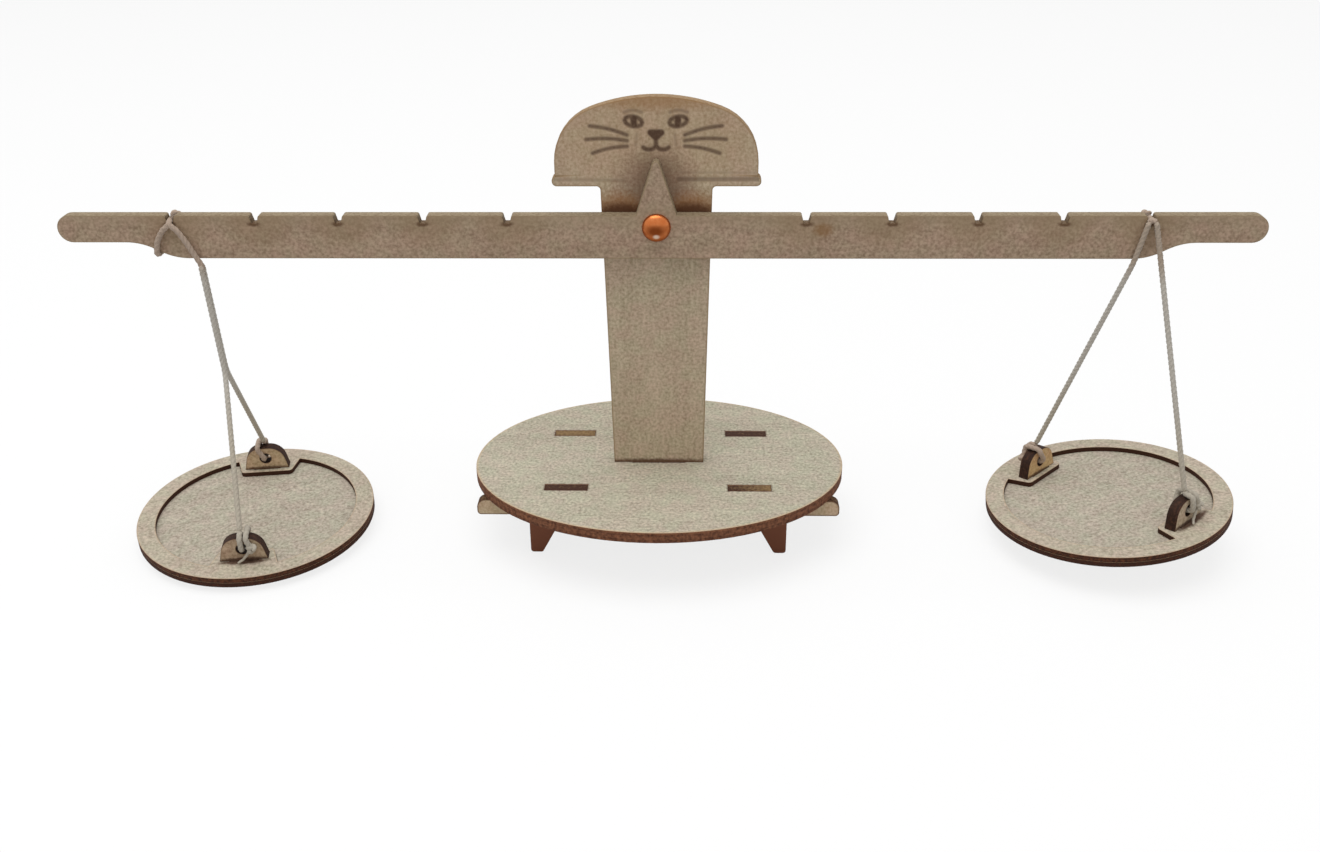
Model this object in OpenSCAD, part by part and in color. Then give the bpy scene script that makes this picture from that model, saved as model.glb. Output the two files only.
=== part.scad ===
// Balance scale toy: a beam of plywood that tilts on an upright post and carries two round pans on strings.
// X runs along the beam, Y away from the viewer and Z up.
// The origin is on the table, midway between the feet.

/* [Boards] */
// Thickness of the plywood of the stand, the beam and the lugs
board_t = 3; // [2.4:0.1:4]
// Thickness of the thin plywood of the pans
sheet_t = 1.4; // [1:0.1:2]
// Gap that the laser leaves on each side of a tenon in its slot
slot_gap = 0.1; // [0.05:0.05:0.2]

/* [Stand] */
// Length of the oval base plate
base_len = 100; // [92:1:120]
// Depth of the oval base plate
base_depth = 76; // [66:1:90]
// Height of the foot rails' arms above the table
foot_h = 11.7; // [9:0.1:16]
// Height of a foot rail's arm
arm_h = 4.6; // [4:0.1:7]
// Length of a foot rail
rail_len = 96; // [90:1:116]
// Distance between the two foot rails
rail_spacing = 30.8; // [24:0.2:40]
// Distance between a foot rail's two tenons
tenon_spacing = 48.4; // [42:0.2:56]
// Width of a foot rail's tenon
tenon_w = 11.2; // [8:0.2:13]
// Distance over the outer edges of a rail's two feet
feet_w = 68.6; // [60:0.2:80]
// Width of a foot where it meets the arm
foot_root_w = 9.4; // [7:0.2:11]
// Width of a foot at its tip
foot_tip_w = 3.2; // [2.6:0.1:5]

/* [Post] */
// Width of the post where it stands on the base plate
post_base_w = 24.2; // [20:0.2:30]
// Width of the post's neck, below the head
neck_w = 27.7; // [24:0.1:34]
// Width of the tenon under the post
post_tenon_w = 14; // [10:0.5:18]
// Height from the base plate to the underside of the head
neck_h = 77.6; // [72:0.2:90]
// Width over the head's brim
brim_w = 51.6; // [48:0.2:60]
// Height of the brim
brim_h = 2.6; // [2:0.1:4]
// Width of the domed head
dome_w = 50; // [44:0.5:56]
// Height of the head's upright sides, above the brim
dome_side_h = 3.5; // [2:0.1:6]
// Height of the dome, above its upright sides
dome_h = 16; // [15:0.2:20]
// Radius at the dome's shoulders
dome_shoulder_r = 14; // [10:0.2:14.4]

/* [Beam] */
// Length of the beam, over its rounded handles
beam_len = 300; // [280:1:330]
// Height of the beam
beam_h = 11.2; // [9.5:0.1:14]
// Height of the beam's top edge above the base plate
beam_rise = 71.2; // [66:0.2:74]
// Height of the handle at each end
handle_h = 7; // [5:0.1:8]
// Length of the straight handle at each end
handle_len = 20.4; // [18:0.2:26]
// Length over which the lower edge rises
handle_rise_len = 8; // [6:0.2:9]
// Distance from the beam's end in to its last notch
end_notch_in = 28.76; // [27.5:0.02:34]
// Distance from one notch to the next
notch_pitch = 21.05; // [19:0.05:21.4]
// Number of notches on each side
notch_count = 5; // [3:1:5]
// Width of a notch at the top edge
notch_open = 2.1; // [1.8:0.1:2.6]
// Width of a notch at its floor
notch_floor = 1.3; // [1.2:0.1:1.6]
// Depth of a notch
notch_depth = 2.1; // [1.8:0.1:2.8]
// Width of the pointer where it leaves the beam
pointer_w = 10.1; // [7:0.1:14]
// Height of the pointer above the beam
pointer_h = 13.6; // [8:0.1:16]
// Gap between the beam and the post
beam_gap = 0.3; // [0.2:0.05:0.8]

/* [Pivot] */
// Distance from the beam's top edge down to the pivot
pivot_drop = 3.1; // [2.6:0.1:4.4]
// Diameter of the fastener's shank
shank_d = 2.4; // [2:0.1:3]
// Clearance round the shank, on the radius
shank_clear = 0.05; // [0.02:0.01:0.1]
// Diameter of the fastener's domed head
head_d = 7.2; // [5:0.1:9]
// Height of the fastener's domed head
head_h = 2.1; // [1.6:0.1:3]
// Gap between the fastener's head and the beam
head_gap = 0.2; // [0.1:0.05:0.4]
// Length of each bent prong behind the post
prong_len = 9; // [6:0.5:12]
// Thickness of a prong
prong_t = 0.7; // [0.5:0.1:1]

/* [Pans] */
// Diameter of a pan
pan_d = 63.4; // [54:0.2:68]
// Width of the ring on a pan
rim_w = 4.9; // [3:0.1:7]
// Width of a lug where it stands on the ring
lug_base_w = 12.4; // [11:0.1:14]
// Width of a lug at its top
lug_top_w = 9.2; // [8.4:0.1:10.4]
// Height of a lug above the pan's floor
lug_h = 8.2; // [7.8:0.1:10]
// Diameter of the string hole in a lug
lug_hole_d = 3.2; // [2.9:0.1:3.6]
// Height of the string hole above the pan's floor
lug_hole_h = 4.9; // [4.6:0.1:5.2]
// Width of the tenon under a lug
lug_tenon_w = 7; // [5:0.2:9]
// Distance from the pan's rim in to a lug's outer face
lug_inset = 7.9; // [7:0.1:9]
// Width of the ledge that the ring's tab leaves inside a lug
tab_ledge = 1.6; // [1.2:0.1:2.4]
// Width that the tab's sides spread on their way to the ring
tab_spread = 2.4; // [1.6:0.1:3.2]
// Height of the middle of the left pan's floor above the table
left_pan_h = 5; // [4.4:0.1:14]
// Height of the middle of the right pan's floor above the table
right_pan_h = 11.1; // [4.4:0.1:14]
// Direction of the left pan's back lug, from +X
left_pan_turn = 98; // [90:1:110]
// Direction of the right pan's back lug, from +X
right_pan_turn = 132; // [110:1:150]
// How far the left pan nods towards the viewer
left_pan_nod = 3.4; // [-3:0.1:6]
// How far the left pan leans, right side up
left_pan_lean = -0.4; // [-3:0.1:6]
// How far the right pan nods towards the viewer
right_pan_nod = -0.7; // [-3:0.1:6]
// How far the right pan leans, right side up
right_pan_lean = 6.6; // [-3:0.1:8]

/* [Strings] */
// Diameter of the cotton string
string_d = 1.5; // [1.2:0.1:1.6]
// Gap between a string and the board that it lies on
string_gap = 0.3; // [0.2:0.05:0.4]
// Gap between the string and the floor of its notch
notch_gap = 0.1; // [0.05:0.05:0.15]
// Distance from the left end notch in to where the string leaves the beam
left_exit_in = 6.4; // [4:0.1:9]
// Distance from the left end notch in to the middle of the left pan
left_pan_in = 10; // [4:0.1:12]
// Height above the table at which the left pan's two strings part
split_h = 48.3; // [40:0.1:60]
// Diameter of a knot behind the beam
knot_d = 3.2; // [2.8:0.1:3.6]

/* [Hidden] */

wood = "#b6a488";
thin_wood = "#bdb195";
brass = "#b5652f";
cotton = "#c9c3b4";
round_fn = 96;
over = 1;
arc_steps = 8;
oval_steps = 96;
opposite = 180;

base_under = foot_h + arm_h;
base_top = base_under + board_t;
beam_top = base_top + beam_rise;
beam_bottom = beam_top - beam_h;
pivot_z = beam_top - pivot_drop;
post_front = -board_t / 2;
post_back = board_t / 2;
beam_back = post_front - beam_gap;
beam_front = beam_back - board_t;
last_notch = beam_len / 2 - end_notch_in;
handle_start = beam_len / 2 - handle_len - handle_rise_len;

arm_top_r = 2.4;
arm_end_r = 1;
foot_fillet_r = 1.5;
arch_fillet_r = 4;
foot_tip_r = 0.8;
brim_r = 1.2;
neck_fillet_r = 1;
handle_curve_r = 15;
notch_lip_r = 0.6;
pointer_tip_r = 0.9;
prong_w = 2.4;
lug_top_r = 4.4;
tab_corner_r = 1.2;

// The head's outline is three arcs: two shoulders and a flatter crown that runs smoothly into them.
dome_z = base_top + neck_h + brim_h + dome_side_h;
shoulder_x = dome_w / 2 - dome_shoulder_r;
crown_r = (pow(shoulder_x, 2) + pow(dome_h, 2) - pow(dome_shoulder_r, 2)) / (2 * (dome_h - dome_shoulder_r));
crown_z = dome_z + dome_h - crown_r;
crown_turn = atan2(dome_z - crown_z, shoulder_x);

// A lug stands on a tab of the ring, in a slot through the ring and the disc.
ring_in_r = pan_d / 2 - rim_w;
lug_out = pan_d / 2 - lug_inset;
lug_mid = lug_out - board_t / 2;

// The strings lie against the front of the beam. The right pan hangs straight below its notch.
string_r = string_d / 2;
string_front = beam_front - string_gap - string_r;
string_back = beam_back + string_gap + string_r;
notch_z = beam_top - notch_depth + notch_gap + string_r;
left_exit_x = left_exit_in - last_notch;
left_x = left_pan_in - last_notch;
right_x = last_notch;
left_pan = [[left_x, string_front, left_pan_h], [left_pan_nod, -left_pan_lean, 0]];
right_pan = [[right_x, string_front, right_pan_h], [right_pan_nod, -right_pan_lean, 0]];
pair_r = string_r + string_gap / 2;
string_sides = 8;
ring_step = 3 * string_d;
tie_step = string_d;

// Outlines are lists of [x, y, corner radius].
function unit(v) = v / norm(v);
function turned(v, a) = [v[0] * cos(a) - v[1] * sin(a), v[0] * sin(a) + v[1] * cos(a)];
function corner(a, b, c, r) = r == 0 ? [b] :
    let (
        u = unit(a - b),
        v = unit(c - b),
        half = acos(u * v) / 2,
        middle = b + unit(u + v) * r / sin(half),
        start = b + u * r / tan(half) - middle,
        end = b + v * r / tan(half) - middle,
        way = sign(start[0] * end[1] - start[1] * end[0])
    )
    [for (i = [0:arc_steps]) middle + turned(start, way * (180 - 2 * half) * i / arc_steps)];
function flat(p) = [p[0], p[1]];
function rounded(path) =
    let (n = len(path))
    [for (i = [0:n - 1])
        each corner(flat(path[(i + n - 1) % n]), flat(path[i]), flat(path[(i + 1) % n]), path[i][2])];
function mirrored(half) = concat(half, [for (i = [len(half) - 1:-1:0])
    if (half[i][0] != 0) [-half[i][0], half[i][1], half[i][2]]]);
function arc(centre, r, from, to) =
    [for (i = [0:arc_steps])
        let (a = from + (to - from) * i / arc_steps)
        [centre[0] + r * cos(a), centre[1] + r * sin(a), 0]];

// A board cut to an outline in X and Z, with its front face at the given Y.
module upright(front, outline) {
    translate([0, front + board_t, 0])
        rotate([90, 0, 0])
            linear_extrude(board_t)
                polygon(rounded(outline));
}

// A route with a point at least every step, and the round string that follows it.
function spread(route, step) = concat(
    [for (i = [0:len(route) - 2])
        let (run = route[i + 1] - route[i], n = ceil(norm(run) / step))
        for (k = [0:n - 1]) route[i] + run * k / n],
    [route[len(route) - 1]]
);
module string_along(route) {
    last = len(route) - 1;
    points = [for (i = [0:last])
        let (
            way = unit(route[min(i + 1, last)] - route[max(i - 1, 0)]),
            u = unit(cross([1, 0, 0], way)),
            v = cross(way, u)
        )
        for (k = [0:string_sides - 1])
            route[i] + string_r * (cos(360 * k / string_sides) * u + sin(360 * k / string_sides) * v)];
    function at(i, k) = i * string_sides + k % string_sides;
    start_cap = [for (k = [1:string_sides - 2]) [at(0, 0), at(0, k), at(0, k + 1)]];
    end_cap = [for (k = [1:string_sides - 2]) [at(last, 0), at(last, k + 1), at(last, k)]];
    walls = [for (i = [0:last - 1], k = [0:string_sides - 1])
        each [[at(i, k), at(i + 1, k), at(i, k + 1)], [at(i, k + 1), at(i + 1, k), at(i + 1, k + 1)]]];
    polyhedron(points = points, faces = concat(start_cap, walls, end_cap));
}

// The oval base plate, with a slot for every tenon that comes up into it or down through it.
module base_plate() {
    color(wood)
        difference() {
            translate([0, 0, base_under])
                linear_extrude(board_t)
                    polygon([for (i = [0:oval_steps - 1])
                        let (a = 360 * i / oval_steps)
                        [base_len / 2 * cos(a), base_depth / 2 * sin(a)]]);
            for (x = [-1, 1], y = [-1, 1])
                slot(x * tenon_spacing / 2, y * rail_spacing / 2, tenon_w);
            slot(0, 0, post_tenon_w);
        }
}

// A slot through the base plate for a tenon of a board that stands on edge along X.
module slot(x, y, w) {
    translate([x - w / 2 - slot_gap, y - board_t / 2 - slot_gap, base_under - over])
        cube([w + 2 * slot_gap, board_t + 2 * slot_gap, board_t + 2 * over]);
}

// One long board on edge: two tenons above, an arm beyond the plate at each end, and two pointed feet.
module foot_rail(side) {
    y = side * rail_spacing / 2;
    tenon_in = tenon_spacing / 2 - tenon_w / 2;
    tenon_out = tenon_spacing / 2 + tenon_w / 2;
    foot_out = feet_w / 2;
    color(wood)
        upright(y - board_t / 2, mirrored([
            [tenon_in, base_under, 0],
            [tenon_in, base_top, 0],
            [tenon_out, base_top, 0],
            [tenon_out, base_under, 0],
            [rail_len / 2, base_under, arm_top_r],
            [rail_len / 2, foot_h, arm_end_r],
            [foot_out, foot_h, foot_fillet_r],
            [foot_out, 0, foot_tip_r],
            [foot_out - foot_tip_w, 0, foot_tip_r],
            [foot_out - foot_root_w, foot_h, arch_fillet_r]
        ]));
}
module front_foot_rail() foot_rail(-1);
module rear_foot_rail() foot_rail(1);

// One board from the tenon under it to the domed head, drilled for the pivot.
module post() {
    neck_z = base_top + neck_h;
    half = [
        [post_tenon_w / 2, base_under, 0],
        [post_tenon_w / 2, base_top, 0],
        [post_base_w / 2, base_top, 0],
        [neck_w / 2, neck_z, neck_fillet_r],
        [brim_w / 2, neck_z, brim_r],
        [brim_w / 2, neck_z + brim_h, brim_r],
        [dome_w / 2, neck_z + brim_h, 0]
    ];
    shoulder = arc([shoulder_x, dome_z], dome_shoulder_r, 0, crown_turn);
    crown = arc([0, crown_z], crown_r, crown_turn, 90);
    after_shoulder = [for (i = [1:arc_steps]) crown[i]];
    color(wood)
        difference() {
            upright(post_front, mirrored(concat(half, shoulder, after_shoulder)));
            pivot_hole(post_front, post_back);
        }
}

// The hole for the fastener's shank, from one Y to another.
module pivot_hole(from, to) {
    translate([0, from - over, pivot_z])
        rotate([-90, 0, 0])
            cylinder(d = shank_d + 2 * shank_clear, h = to - from + 2 * over, $fn = round_fn);
}

// A brass fastener with a domed head: its shank passes through beam and post.
// Its two prongs are bent flat behind the post.
module pivot_fastener() {
    head_back = beam_front - head_gap;
    dome_r = (pow(head_d / 2, 2) + pow(head_h, 2)) / (2 * head_h);
    prong_front = post_back + head_gap;
    color(brass) {
        translate([0, 0, pivot_z]) {
            rotate([90, 0, 0])
                translate([0, 0, -head_back])
                    rotate_extrude($fn = round_fn)
                        intersection() {
                            translate([0, head_h - dome_r])
                                circle(r = dome_r, $fn = round_fn);
                            square([head_d, head_h]);
                        }
            translate([0, head_back, 0])
                rotate([-90, 0, 0])
                    cylinder(d = shank_d, h = prong_front + prong_t - head_back, $fn = round_fn);
            for (turn = [0, opposite])
                rotate([0, turn, 0])
                    translate([0, prong_front + prong_t, 0])
                        rotate([90, 0, 0])
                            linear_extrude(prong_t)
                                polygon([
                                    [0, -prong_w / 2],
                                    [prong_len - prong_w / 2, -prong_w / 2],
                                    [prong_len, 0],
                                    [prong_len - prong_w / 2, prong_w / 2],
                                    [0, prong_w / 2]
                                ]);
        }
    }
}

// The beam: a straight edge on top with its notches and pointer.
// Its lower edge rises to a handle at each end.
module beam() {
    handle_z = beam_top - handle_h;
    end_r = handle_h / 2 - slot_gap / 2;
    tip_z = beam_top + pointer_h - pointer_tip_r;
    side_l = norm([pointer_w / 2, tip_z - beam_top]);
    tip_turn = 90 - atan2(tip_z - beam_top, pointer_w / 2) - asin(pointer_tip_r / side_l);
    half = [
        [handle_start, beam_bottom, handle_curve_r],
        [handle_start + handle_rise_len, handle_z, handle_curve_r],
        [beam_len / 2, handle_z, end_r],
        [beam_len / 2, beam_top, end_r],
        [pointer_w / 2, beam_top, 0]
    ];
    color(wood)
        difference() {
            upright(beam_front, mirrored(concat(half, arc([0, tip_z], pointer_tip_r, tip_turn, 90))));
            for (side = [-1, 1], i = [0:notch_count - 1])
                translate([side * (last_notch - i * notch_pitch), 0, 0])
                    notch();
            pivot_hole(beam_front, beam_back);
        }
}

// A notch that holds a string: sloping sides, and lips that the laser rounds.
module notch() {
    lip = arc([notch_open / 2 + notch_lip_r, beam_top - notch_lip_r], notch_lip_r, 180, 90);
    translate([0, beam_back + over, 0])
        rotate([90, 0, 0])
            linear_extrude(board_t + 2 * over)
                polygon([for (p = mirrored(concat(
                    [[notch_floor / 2, beam_top - notch_depth, 0]],
                    lip,
                    [[notch_open / 2 + notch_lip_r, beam_top + over, 0]]
                ))) flat(p)]);
}

// The knot behind a notch, which holds the string that passes through it.
knot_y = beam_back + notch_gap + knot_d / 2;
module notch_knot(x) {
    translate([x, knot_y, notch_z])
        sphere(d = knot_d, $fn = string_sides * 2);
}

// The left strings pass through the notch, once round the beam, and leave its lower edge nearer the middle.
module left_beam_tie() {
    x = -last_notch;
    rise = beam_h - handle_h;
    wrap_x = -handle_start - handle_rise_len / 2;
    wrap_z = beam_bottom + rise / 2 - string_gap - string_r;
    color(cotton) {
        notch_knot(x);
        string_along(spread([
            [x, knot_y, notch_z],
            [x, beam_front, notch_z],
            [x, string_front, notch_z - string_r],
            [left_exit_x, string_front, beam_bottom]
        ], tie_step));
        string_along(spread([
            [x, beam_front - notch_gap, notch_z],
            [x, string_front, notch_z - string_r],
            [wrap_x, string_front, wrap_z + string_r],
            [wrap_x, beam_front, wrap_z],
            [wrap_x, beam_back, wrap_z],
            [wrap_x, string_back, wrap_z + string_r],
            [x, string_back, notch_z - string_r]
        ], tie_step));
    }
}

// The right strings come through the notch from a knot behind the beam.
module right_beam_tie() {
    x = last_notch;
    color(cotton) {
        notch_knot(x);
        string_along(spread([[x, knot_y, notch_z], [x, beam_front - notch_gap, notch_z]], tie_step));
    }
}

// The strings hold each pan a little askew. A pan is [the middle of its floor, how it is turned from level].
function nod(p, a) = [p[0], p[1] * cos(a) - p[2] * sin(a), p[1] * sin(a) + p[2] * cos(a)];
function lean(p, a) = [p[0] * cos(a) + p[2] * sin(a), p[1], p[2] * cos(a) - p[0] * sin(a)];
function off_pan(pan, p) = pan[0] + lean(nod(p, pan[1][0]), pan[1][1]);
function into_pan(pan, p) = nod(lean(p - pan[0], -pan[1][1]), -pan[1][0]);
module on_pan(pan) {
    translate(pan[0])
        rotate(pan[1])
            children();
}

// A pan is a disc with a ring glued on it. The ring has two tabs with the slots for the lugs.
module pan_disc(pan, turn) {
    color(thin_wood)
        on_pan(pan)
            translate([0, 0, -sheet_t])
                difference() {
                    cylinder(d = pan_d, h = sheet_t, $fn = round_fn);
                    lug_slots(turn);
                }
}
module pan_ring(pan, turn) {
    tab_in = lug_mid - board_t / 2 - tab_ledge;
    tab_w = lug_base_w / 2 + tab_ledge / 2;
    tab = rounded([
        [tab_in, -tab_w, tab_corner_r],
        [ring_in_r + over, -tab_w - tab_spread, 0],
        [ring_in_r + over, tab_w + tab_spread, 0],
        [tab_in, tab_w, tab_corner_r]
    ]);
    color(thin_wood)
        on_pan(pan)
            difference() {
                cylinder(d = pan_d, h = sheet_t, $fn = round_fn);
                translate([0, 0, -over])
                    linear_extrude(sheet_t + 2 * over)
                        difference() {
                            circle(r = ring_in_r, $fn = round_fn);
                            for (side = [0, opposite])
                                rotate(turn + side)
                                    polygon(tab);
                        }
                lug_slots(turn);
            }
}
module lug_slots(turn) {
    for (side = [0, opposite])
        rotate([0, 0, turn + side])
            translate([lug_mid - board_t / 2 - slot_gap, -lug_tenon_w / 2 - slot_gap, -over])
                cube([board_t + 2 * slot_gap, lug_tenon_w + 2 * slot_gap, sheet_t + 2 * over]);
}
module lug(pan, turn) {
    color(wood)
        on_pan(pan)
            rotate([0, 0, turn + 90])
                translate([0, board_t / 2 - lug_mid, 0])
                    rotate([90, 0, 0])
                        linear_extrude(board_t)
                            difference() {
                                polygon(rounded(mirrored([
                                    [lug_tenon_w / 2, -sheet_t, 0],
                                    [lug_tenon_w / 2, sheet_t, 0],
                                    [lug_base_w / 2, sheet_t, 0],
                                    [lug_top_w / 2, lug_h, lug_top_r]
                                ])));
                                translate([0, lug_hole_h])
                                    circle(d = lug_hole_d, $fn = round_fn);
                            }
}

// A point of a pan, at a distance out from its middle towards a lug and a height above its floor.
function at_lug(turn, out, up) = [out * cos(turn), out * sin(turn), up];

// A string slants from where it hangs to its lug, and ends where it starts to bend over the lug's top.
bend_r = string_gap + string_r;
function slant(from, top) = atan2(norm([top[0] - from[0], top[1] - from[1]]), from[2] - top[2]);
function slant_in(a) = [lug_mid + bend_r - bend_r * cos(a), lug_h + 2 * bend_r - bend_r * sin(a)];
function string_end(from, pan, turn) =
    let (
        in = into_pan(pan, from),
        start = slant_in(slant(in, at_lug(turn, lug_mid, lug_h))),
        end = at_lug(turn, start[0], start[1])
    )
    off_pan(pan, end - string_gap * unit(end - in));

// The string's end goes over the lug, down its outer face and into the hole, where it is knotted.
module lug_knot(from, pan, turn) {
    slant = slant(into_pan(pan, from), at_lug(turn, lug_mid, lug_h));
    onto_top = [for (i = [0:4]) slant_in(slant + (90 - slant) * i / 4)];
    over_edge = [for (a = [90, 45, 0]) [lug_out + bend_r * cos(a), lug_h + bend_r * sin(a)]];
    into_hole = [for (a = [0, -45, -90]) [lug_out + bend_r * cos(a), lug_hole_h + bend_r + bend_r * sin(a)]];
    color(cotton)
        on_pan(pan) {
            string_along([for (p = concat(onto_top, over_edge, into_hole, [[lug_mid, lug_hole_h]]))
                at_lug(turn, p[0], p[1])]);
            translate(at_lug(turn, lug_mid, lug_hole_h))
                sphere(r = lug_hole_d / 2 - notch_gap - slot_gap, $fn = string_sides * 2);
        }
}

// The left strings hang one behind the other from just below the beam, then part, one to each lug.
// They slant a little, from where they leave the beam towards the middle of the pan's floor.
function left_pair(z, turn) =
    let (part = (beam_bottom - z) / (beam_bottom - left_pan_h))
    [left_exit_x + (left_x - left_exit_x) * part + pair_r * cos(turn), string_front + pair_r * sin(turn), z];
function left_split(turn) = left_pair(split_h, turn);
module left_string(turn) {
    top = left_pair(beam_bottom - 2 * string_gap - string_r, turn);
    split = left_split(turn);
    color(cotton)
        string_along(spread([top, split, string_end(split, left_pan, turn)], ring_step));
}
module left_knot(turn) lug_knot(left_split(turn), left_pan, turn);

// The right strings leave the notch side by side.
// The one to the back lug clears the beam's lower edge first.
function right_start(side) = [right_x + side * (string_r + notch_gap), string_front, notch_z];
module right_back_string() {
    start = right_start(-1);
    end = string_end(start, right_pan, right_pan_turn);
    edge_z = beam_bottom - string_r;
    edge_part = (start[2] - edge_z) / (start[2] - end[2]);
    edge = [start[0] + (end[0] - start[0]) * edge_part, string_front, edge_z];
    color(cotton)
        string_along(spread([start, edge, end], ring_step));
}
module right_front_string() {
    start = right_start(1);
    color(cotton)
        string_along(spread([
            start,
            string_end(start, right_pan, right_pan_turn + opposite)
        ], ring_step));
}

module left_pan_disc() pan_disc(left_pan, left_pan_turn);
module left_pan_ring() pan_ring(left_pan, left_pan_turn);
module left_back_lug() lug(left_pan, left_pan_turn);
module left_front_lug() lug(left_pan, left_pan_turn + opposite);
module left_back_string() left_string(left_pan_turn);
module left_front_string() left_string(left_pan_turn + opposite);
module left_back_knot() left_knot(left_pan_turn);
module left_front_knot() left_knot(left_pan_turn + opposite);
module right_pan_disc() pan_disc(right_pan, right_pan_turn);
module right_pan_ring() pan_ring(right_pan, right_pan_turn);
module right_back_lug() lug(right_pan, right_pan_turn);
module right_front_lug() lug(right_pan, right_pan_turn + opposite);
module right_back_knot() lug_knot(right_start(-1), right_pan, right_pan_turn);
module right_front_knot() lug_knot(right_start(1), right_pan, right_pan_turn + opposite);

base_plate();
front_foot_rail();
rear_foot_rail();
post();
pivot_fastener();
beam();
left_beam_tie();
right_beam_tie();
left_pan_disc();
left_pan_ring();
left_back_lug();
left_front_lug();
left_back_string();
left_front_string();
left_back_knot();
left_front_knot();
right_pan_disc();
right_pan_ring();
right_back_lug();
right_front_lug();
right_back_string();
right_front_string();
right_back_knot();
right_front_knot();
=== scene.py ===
# A toy balance cut by laser from plywood. A notched beam tilts on a post and carries two pans on strings.
# The sections follow the toy as it is put together, after the camera, the room and the strings.
# Sizes are in metres, but for the engraving's, which are in millimetres.
import math

import bmesh
import bpy
from mathutils import Matrix, Vector


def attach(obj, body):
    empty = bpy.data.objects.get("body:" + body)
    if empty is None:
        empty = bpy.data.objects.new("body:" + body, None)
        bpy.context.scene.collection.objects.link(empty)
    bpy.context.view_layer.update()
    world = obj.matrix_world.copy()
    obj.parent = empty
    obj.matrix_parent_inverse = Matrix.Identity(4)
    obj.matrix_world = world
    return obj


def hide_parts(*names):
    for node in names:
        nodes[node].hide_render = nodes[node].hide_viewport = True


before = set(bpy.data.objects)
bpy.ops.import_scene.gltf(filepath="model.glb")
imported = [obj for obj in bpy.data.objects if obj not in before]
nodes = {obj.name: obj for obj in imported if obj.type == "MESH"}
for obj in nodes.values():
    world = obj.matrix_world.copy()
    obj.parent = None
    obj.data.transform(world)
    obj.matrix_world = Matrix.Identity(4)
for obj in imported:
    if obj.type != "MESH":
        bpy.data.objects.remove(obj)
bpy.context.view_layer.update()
scene = bpy.context.scene
scene.view_settings.view_transform = "Standard"

# The camera stands 359 mm from the toy and a little to its left, and looks down on it at 27 degrees.
# Its values were fitted to the notches, slots and pans in the 1320 x 852 photograph.
PHOTO_WIDTH = 1320
FOCAL_PIXELS = 1325.3
LOOK_DOWN, LOOK_TURN, LOOK_ROLL = (math.radians(a) for a in (27.42, 1.56, -0.5))
AIM = Vector((0.00034, 0, 0.02965))
DISTANCE = 0.35875
lens = bpy.data.cameras.new("camera")
lens.sensor_width = 36
lens.lens = FOCAL_PIXELS / PHOTO_WIDTH * lens.sensor_width
lens.clip_start = 0.01
camera = bpy.data.objects.new("camera", lens)
scene.collection.objects.link(camera)
scene.camera = camera
back = Vector((0, -math.cos(LOOK_DOWN), math.sin(LOOK_DOWN)))
camera.matrix_world = (
    Matrix.Rotation(LOOK_TURN, 4, "Z")
    @ Matrix.Translation(AIM + back * DISTANCE)
    @ Matrix.Rotation(math.pi / 2 - LOOK_DOWN, 4, "X")
    @ Matrix.Rotation(LOOK_ROLL, 4, "Z")
)


# The room is a white table under a wide soft lamp, with even light from all round.
# The camera sees the room as plain white, and of the table only a trace of the toy's shadow.
def linear(colour):
    """A hex colour in the linear values that the renderer works with."""
    parts = [int(colour[i : i + 2], 16) / 255 for i in (1, 3, 5)]
    return (*[p / 12.92 if p <= 0.04045 else ((p + 0.055) / 1.055) ** 2.4 for p in parts], 1)


def add(tree, kind, inputs=(), **settings):
    """A new shader node with its settings. Each of its inputs takes a value or a link."""
    made = tree.nodes.new("ShaderNode" + kind)
    for name, value in settings.items():
        setattr(made, name, value)
    for key, value in dict(inputs).items():
        if isinstance(value, bpy.types.NodeSocket):
            tree.links.new(value, made.inputs[key])
        else:
            made.inputs[key].default_value = value
    return made


def material(name):
    made = bpy.data.materials.new(name)
    made.use_nodes = True
    made.node_tree.nodes.clear()
    return made, made.node_tree


WHITE = linear("#ffffff")
ROOM_LIGHT = 0.5
world = bpy.data.worlds.new("room")
world.use_nodes = True
scene.world = world
tree = world.node_tree
tree.nodes.clear()
rays = add(tree, "LightPath")
plain = add(tree, "Math", {0: rays.outputs["Is Camera Ray"], 1: rays.outputs["Is Glossy Ray"]},
            operation="MAXIMUM")
even = add(tree, "Background", {"Color": WHITE, "Strength": ROOM_LIGHT})
white = add(tree, "Background", {"Color": WHITE, "Strength": 1})
seen = add(tree, "MixShader", {0: plain.outputs[0], 1: even.outputs[0], 2: white.outputs[0]})
add(tree, "OutputWorld", {"Surface": seen.outputs[0]})

LAMP_WATTS, LAMP_WIDE, LAMP_PLACE = 9.5, 1.2, Vector((-0.15, -0.1, 1.2))
lamp = bpy.data.lights.new("overhead_lamp", "AREA")
lamp.shape = "DISK"
lamp.size = LAMP_WIDE
lamp.energy = LAMP_WATTS
lamp_object = bpy.data.objects.new("overhead_lamp", lamp)
scene.collection.objects.link(lamp_object)
lamp_object.location = LAMP_PLACE
lamp_object.rotation_euler = (-LAMP_PLACE).to_track_quat("-Z", "Y").to_euler()

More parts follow.
